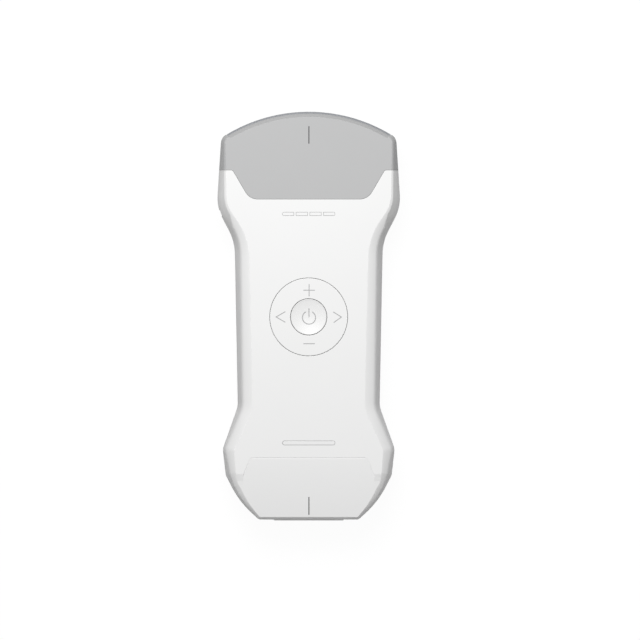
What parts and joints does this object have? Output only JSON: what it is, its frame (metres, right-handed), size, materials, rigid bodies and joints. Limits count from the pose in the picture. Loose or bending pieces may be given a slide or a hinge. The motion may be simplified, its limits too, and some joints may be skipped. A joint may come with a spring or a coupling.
{
  "type": "handheld ultrasound scanner",
  "caption": "Wireless handheld ultrasound scanner with a curved array, a grey head, a waisted white case, a four way ring around a power button and a covered charging port.",
  "frame": {"origin": "middle of the footprint, at the level of the back on which the scanner lies", "axes": "+X across the scanner, +Y from the tail to the lens, +Z out of the face with the keys"},
  "size_m": [0.0696, 0.1562, 0.025],
  "materials": {
    "white_plastic": "fine satin moulded white polycarbonate blend",
    "grey_plastic": "satin moulded mid grey",
    "light_plastic": "plain moulded light grey",
    "black_plastic": "matt black",
    "clear_plastic": "milky light guide",
    "grey_rubber": "soft silicone seal",
    "white_rubber": "soft white elastomer",
    "lens_rubber": "smooth blue grey silicone",
    "silicone": "translucent silicone",
    "resin": "filled epoxy",
    "ceramic": "sintered, silvered faces",
    "polyimide": "amber film",
    "circuit_board": "green solder mask",
    "lamp": "tiny surface mounted lamps",
    "battery_foil": "foil pouch",
    "wire_red": "insulated wire",
    "aluminium": "bare",
    "brass": "knurled",
    "steel": "plain"
  },
  "bodies": {
    "case": {"front_shell": "white_plastic", "rear_shell": "white_plastic", "head_shell": "grey_plastic", "shell_gasket": "grey_rubber", "head_gasket": "grey_rubber", "acoustic_lens": "lens_rubber", "matching_layer": "resin", "piezo_array": "ceramic", "backing_block": "resin", "array_carrier": "aluminium", "array_screws": "steel", "array_flex": "polyimide", "keypad_membrane": "silicone", "tact_domes": "steel", "keypad_board": "circuit_board", "keypad_screws": "steel", "keypad_cable": "polyimide", "indicator_lamps": "lamp", "battery_light_guide": "clear_plastic", "status_light_guide": "clear_plastic", "main_board": "circuit_board", "analog_board": "circuit_board", "board_link": "black_plastic", "board_chips": "black_plastic", "shield_can": "steel", "wifi_antenna": "brass", "board_screws": "steel", "board_spacers": "aluminium", "heat_spreader": "aluminium", "thermal_pads": "silicone", "battery_cell": "battery_foil", "battery_cradle": "black_plastic", "battery_lead": "wire_red", "battery_connector": "light_plastic", "usb_c_shell": "steel", "usb_c_tongue": "black_plastic", "port_hinge_pin": "steel", "case_screws": "steel", "threaded_inserts": "brass", "screw_plugs": "white_rubber"},
    "rocker_carrier": {"rocker_carrier": "light_plastic"},
    "rocker_ring": {"rocker_ring": "white_plastic"},
    "power_button": {"power_button": "white_plastic"},
    "port_cover": {"port_cover": "white_rubber"}
  },
  "joints": [
    {"name": "ring_left_right", "type": "hinge", "parent": "case", "child": "rocker_carrier", "pos_m": [0, -0.00035, 0.01985], "axis": [0, 1, 0], "range_deg": [-1.5, 1.5], "stiffness_Nm_per_rad": 0.8},
    {"name": "ring_up_down", "type": "hinge", "parent": "rocker_carrier", "child": "rocker_ring", "pos_m": [0, -0.00035, 0.02145], "axis": [1, 0, 0], "range_deg": [-1.5, 1.5], "stiffness_Nm_per_rad": 0.8},
    {"name": "power_press", "type": "slide", "parent": "case", "child": "power_button", "axis": [0, 0, -1], "range_m": [0, 0.0004], "stiffness_N_per_m": 5000},
    {"name": "cover_swing", "type": "hinge", "parent": "case", "child": "port_cover", "pos_m": [0, -0.0771, 0.0157], "axis": [-1, 0, 0], "range_deg": [0, 110]}
  ]
}
